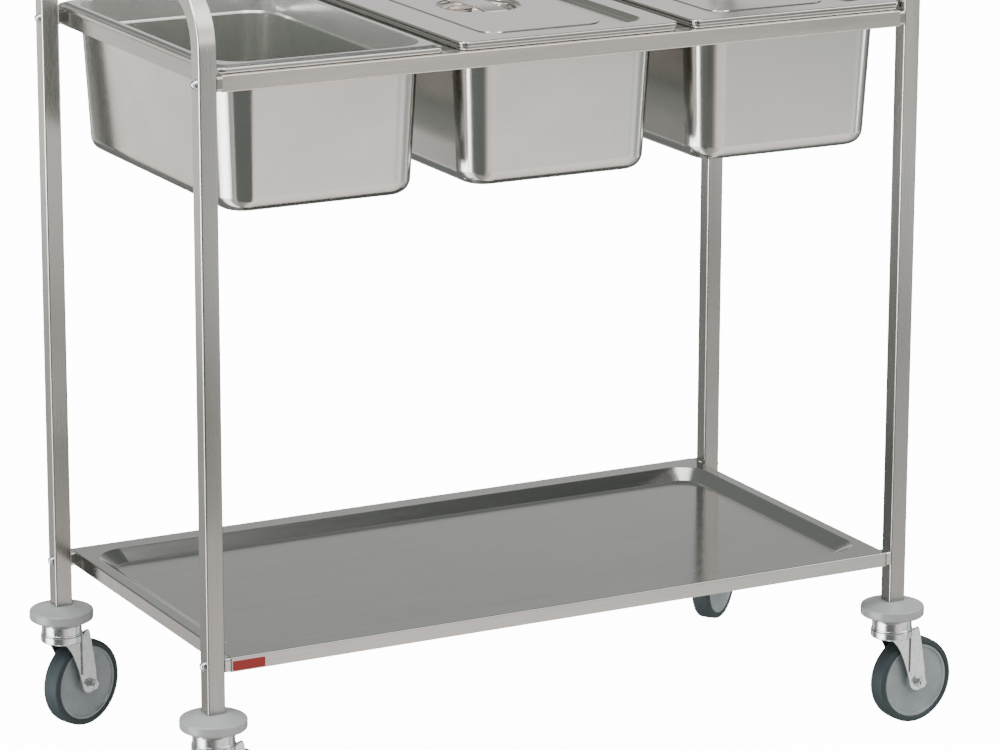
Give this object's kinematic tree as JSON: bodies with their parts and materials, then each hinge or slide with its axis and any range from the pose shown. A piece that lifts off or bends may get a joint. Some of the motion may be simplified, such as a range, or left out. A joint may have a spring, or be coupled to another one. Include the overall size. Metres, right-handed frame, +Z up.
{
  "type": "food service trolley",
  "caption": "Stainless trolley with tubular end handles, a row of lift-out gastronorm pans, some lidded, over a pressed shelf, on swivel castors with bumpers.",
  "frame": {"origin": "middle of the trolley's footprint, castors included, on the floor", "axes": "+X along the length towards the right-hand handle, +Y from the front to the rear, +Z up"},
  "size_m": [1.193, 0.6356, 1.15],
  "materials": {
    "frame_steel": "satin stainless, brushed along the tube",
    "shelf_steel": "glossy satin stainless sheet",
    "pan_steel": "bright satin stainless, drawn",
    "lid_steel": "bright satin stainless, pressed",
    "zinc": "bright zinc plate",
    "bumper_plastic": "light grey satin plastic",
    "hub_plastic": "grey satin plastic",
    "tyre": "dark blue-grey rubber",
    "badge_red": "plain red label plate",
    "plug_plastic": "black plastic"
  },
  "bodies": {
    "frame": {"end_frame_left": "frame_steel", "end_frame_right": "frame_steel", "leg_plugs": "plug_plastic", "top_rail_front": "frame_steel", "top_rail_rear": "frame_steel", "top_rail_left": "frame_steel", "top_rail_right": "frame_steel", "cross_bar_left": "frame_steel", "cross_bar_right": "frame_steel", "rail_inserts": "zinc", "top_spacers": "frame_steel", "shelf": "shelf_steel", "shelf_spacers": "frame_steel", "shelf_nuts": "zinc", "top_bolts": "zinc", "shelf_bolts": "zinc", "bolt_washers": "zinc", "badge_plate": "badge_red", "bumper_front_left": "bumper_plastic", "castor_head_front_left": "zinc", "castor_balls_front_left": "zinc", "bumper_front_right": "bumper_plastic", "castor_head_front_right": "zinc", "castor_balls_front_right": "zinc", "bumper_rear_left": "bumper_plastic", "castor_head_rear_left": "zinc", "castor_balls_rear_left": "zinc", "bumper_rear_right": "bumper_plastic", "castor_head_rear_right": "zinc", "castor_balls_rear_right": "zinc"},
    "fork_front_left": {"castor_fork_front_left": "zinc", "castor_axle_front_left": "zinc"},
    "wheel_front_left": {"wheel_tyre_front_left": "tyre", "wheel_hub_front_left": "hub_plastic", "wheel_bush_front_left": "zinc"},
    "fork_front_right": {"castor_fork_front_right": "zinc", "castor_axle_front_right": "zinc"},
    "wheel_front_right": {"wheel_tyre_front_right": "tyre", "wheel_hub_front_right": "hub_plastic", "wheel_bush_front_right": "zinc"},
    "fork_rear_left": {"castor_fork_rear_left": "zinc", "castor_axle_rear_left": "zinc"},
    "wheel_rear_left": {"wheel_tyre_rear_left": "tyre", "wheel_hub_rear_left": "hub_plastic", "wheel_bush_rear_left": "zinc"},
    "fork_rear_right": {"castor_fork_rear_right": "zinc", "castor_axle_rear_right": "zinc"},
    "wheel_rear_right": {"wheel_tyre_rear_right": "tyre", "wheel_hub_rear_right": "hub_plastic", "wheel_bush_rear_right": "zinc"},
    "pan_left": {"pan_left": "pan_steel"},
    "pan_middle": {"pan_middle": "pan_steel"},
    "pan_right": {"pan_right": "pan_steel"},
    "lid_middle": {"lid_middle": "lid_steel", "lid_handle_middle": "lid_steel"},
    "lid_right": {"lid_right": "lid_steel", "lid_handle_right": "lid_steel"}
  },
  "joints": [
    {"name": "castor_front_left_swivel", "type": "hinge", "parent": "frame", "child": "fork_front_left", "pos_m": [-0.55131, -0.27281, 0.15], "axis": [0, 0, 1], "continuous": true},
    {"name": "castor_front_left_roll", "type": "hinge", "parent": "fork_front_left", "child": "wheel_front_left", "pos_m": [-0.51659, -0.26543, 0.0625], "axis": [-0.2079, 0.9781, 0], "continuous": true},
    {"name": "castor_front_right_swivel", "type": "hinge", "parent": "frame", "child": "fork_front_right", "pos_m": [0.49869, -0.27281, 0.15], "axis": [0, 0, 1], "continuous": true},
    {"name": "castor_front_right_roll", "type": "hinge", "parent": "fork_front_right", "child": "wheel_front_right", "pos_m": [0.53405, -0.26971, 0.0625], "axis": [-0.0872, 0.9962, 0], "continuous": true},
    {"name": "castor_rear_left_swivel", "type": "hinge", "parent": "frame", "child": "fork_rear_left", "pos_m": [-0.55131, 0.24719, 0.15], "axis": [0, 0, 1], "continuous": true},
    {"name": "castor_rear_left_roll", "type": "hinge", "parent": "fork_rear_left", "child": "wheel_rear_left", "pos_m": [-0.5184, 0.26049, 0.0625], "axis": [-0.3746, 0.9272, 0], "continuous": true},
    {"name": "castor_rear_right_swivel", "type": "hinge", "parent": "frame", "child": "fork_rear_right", "pos_m": [0.49869, 0.24719, 0.15], "axis": [0, 0, 1], "continuous": true},
    {"name": "castor_rear_right_roll", "type": "hinge", "parent": "fork_rear_right", "child": "wheel_rear_right", "pos_m": [0.52628, 0.26954, 0.0625], "axis": [-0.6293, 0.7771, 0], "continuous": true},
    {"name": "pan_left_lift", "type": "slide", "parent": "frame", "child": "pan_left", "axis": [0, 0, 1], "range_m": [0, 0.25]},
    {"name": "pan_middle_lift", "type": "slide", "parent": "frame", "child": "pan_middle", "axis": [0, 0, 1], "range_m": [0, 0.25]},
    {"name": "pan_right_lift", "type": "slide", "parent": "frame", "child": "pan_right", "axis": [0, 0, 1], "range_m": [0, 0.25]},
    {"name": "lid_middle_lift", "type": "slide", "parent": "pan_middle", "child": "lid_middle", "axis": [0, 0, 1], "range_m": [0, 0.15]},
    {"name": "lid_right_lift", "type": "slide", "parent": "pan_right", "child": "lid_right", "axis": [0, 0, 1], "range_m": [0, 0.15]}
  ]
}
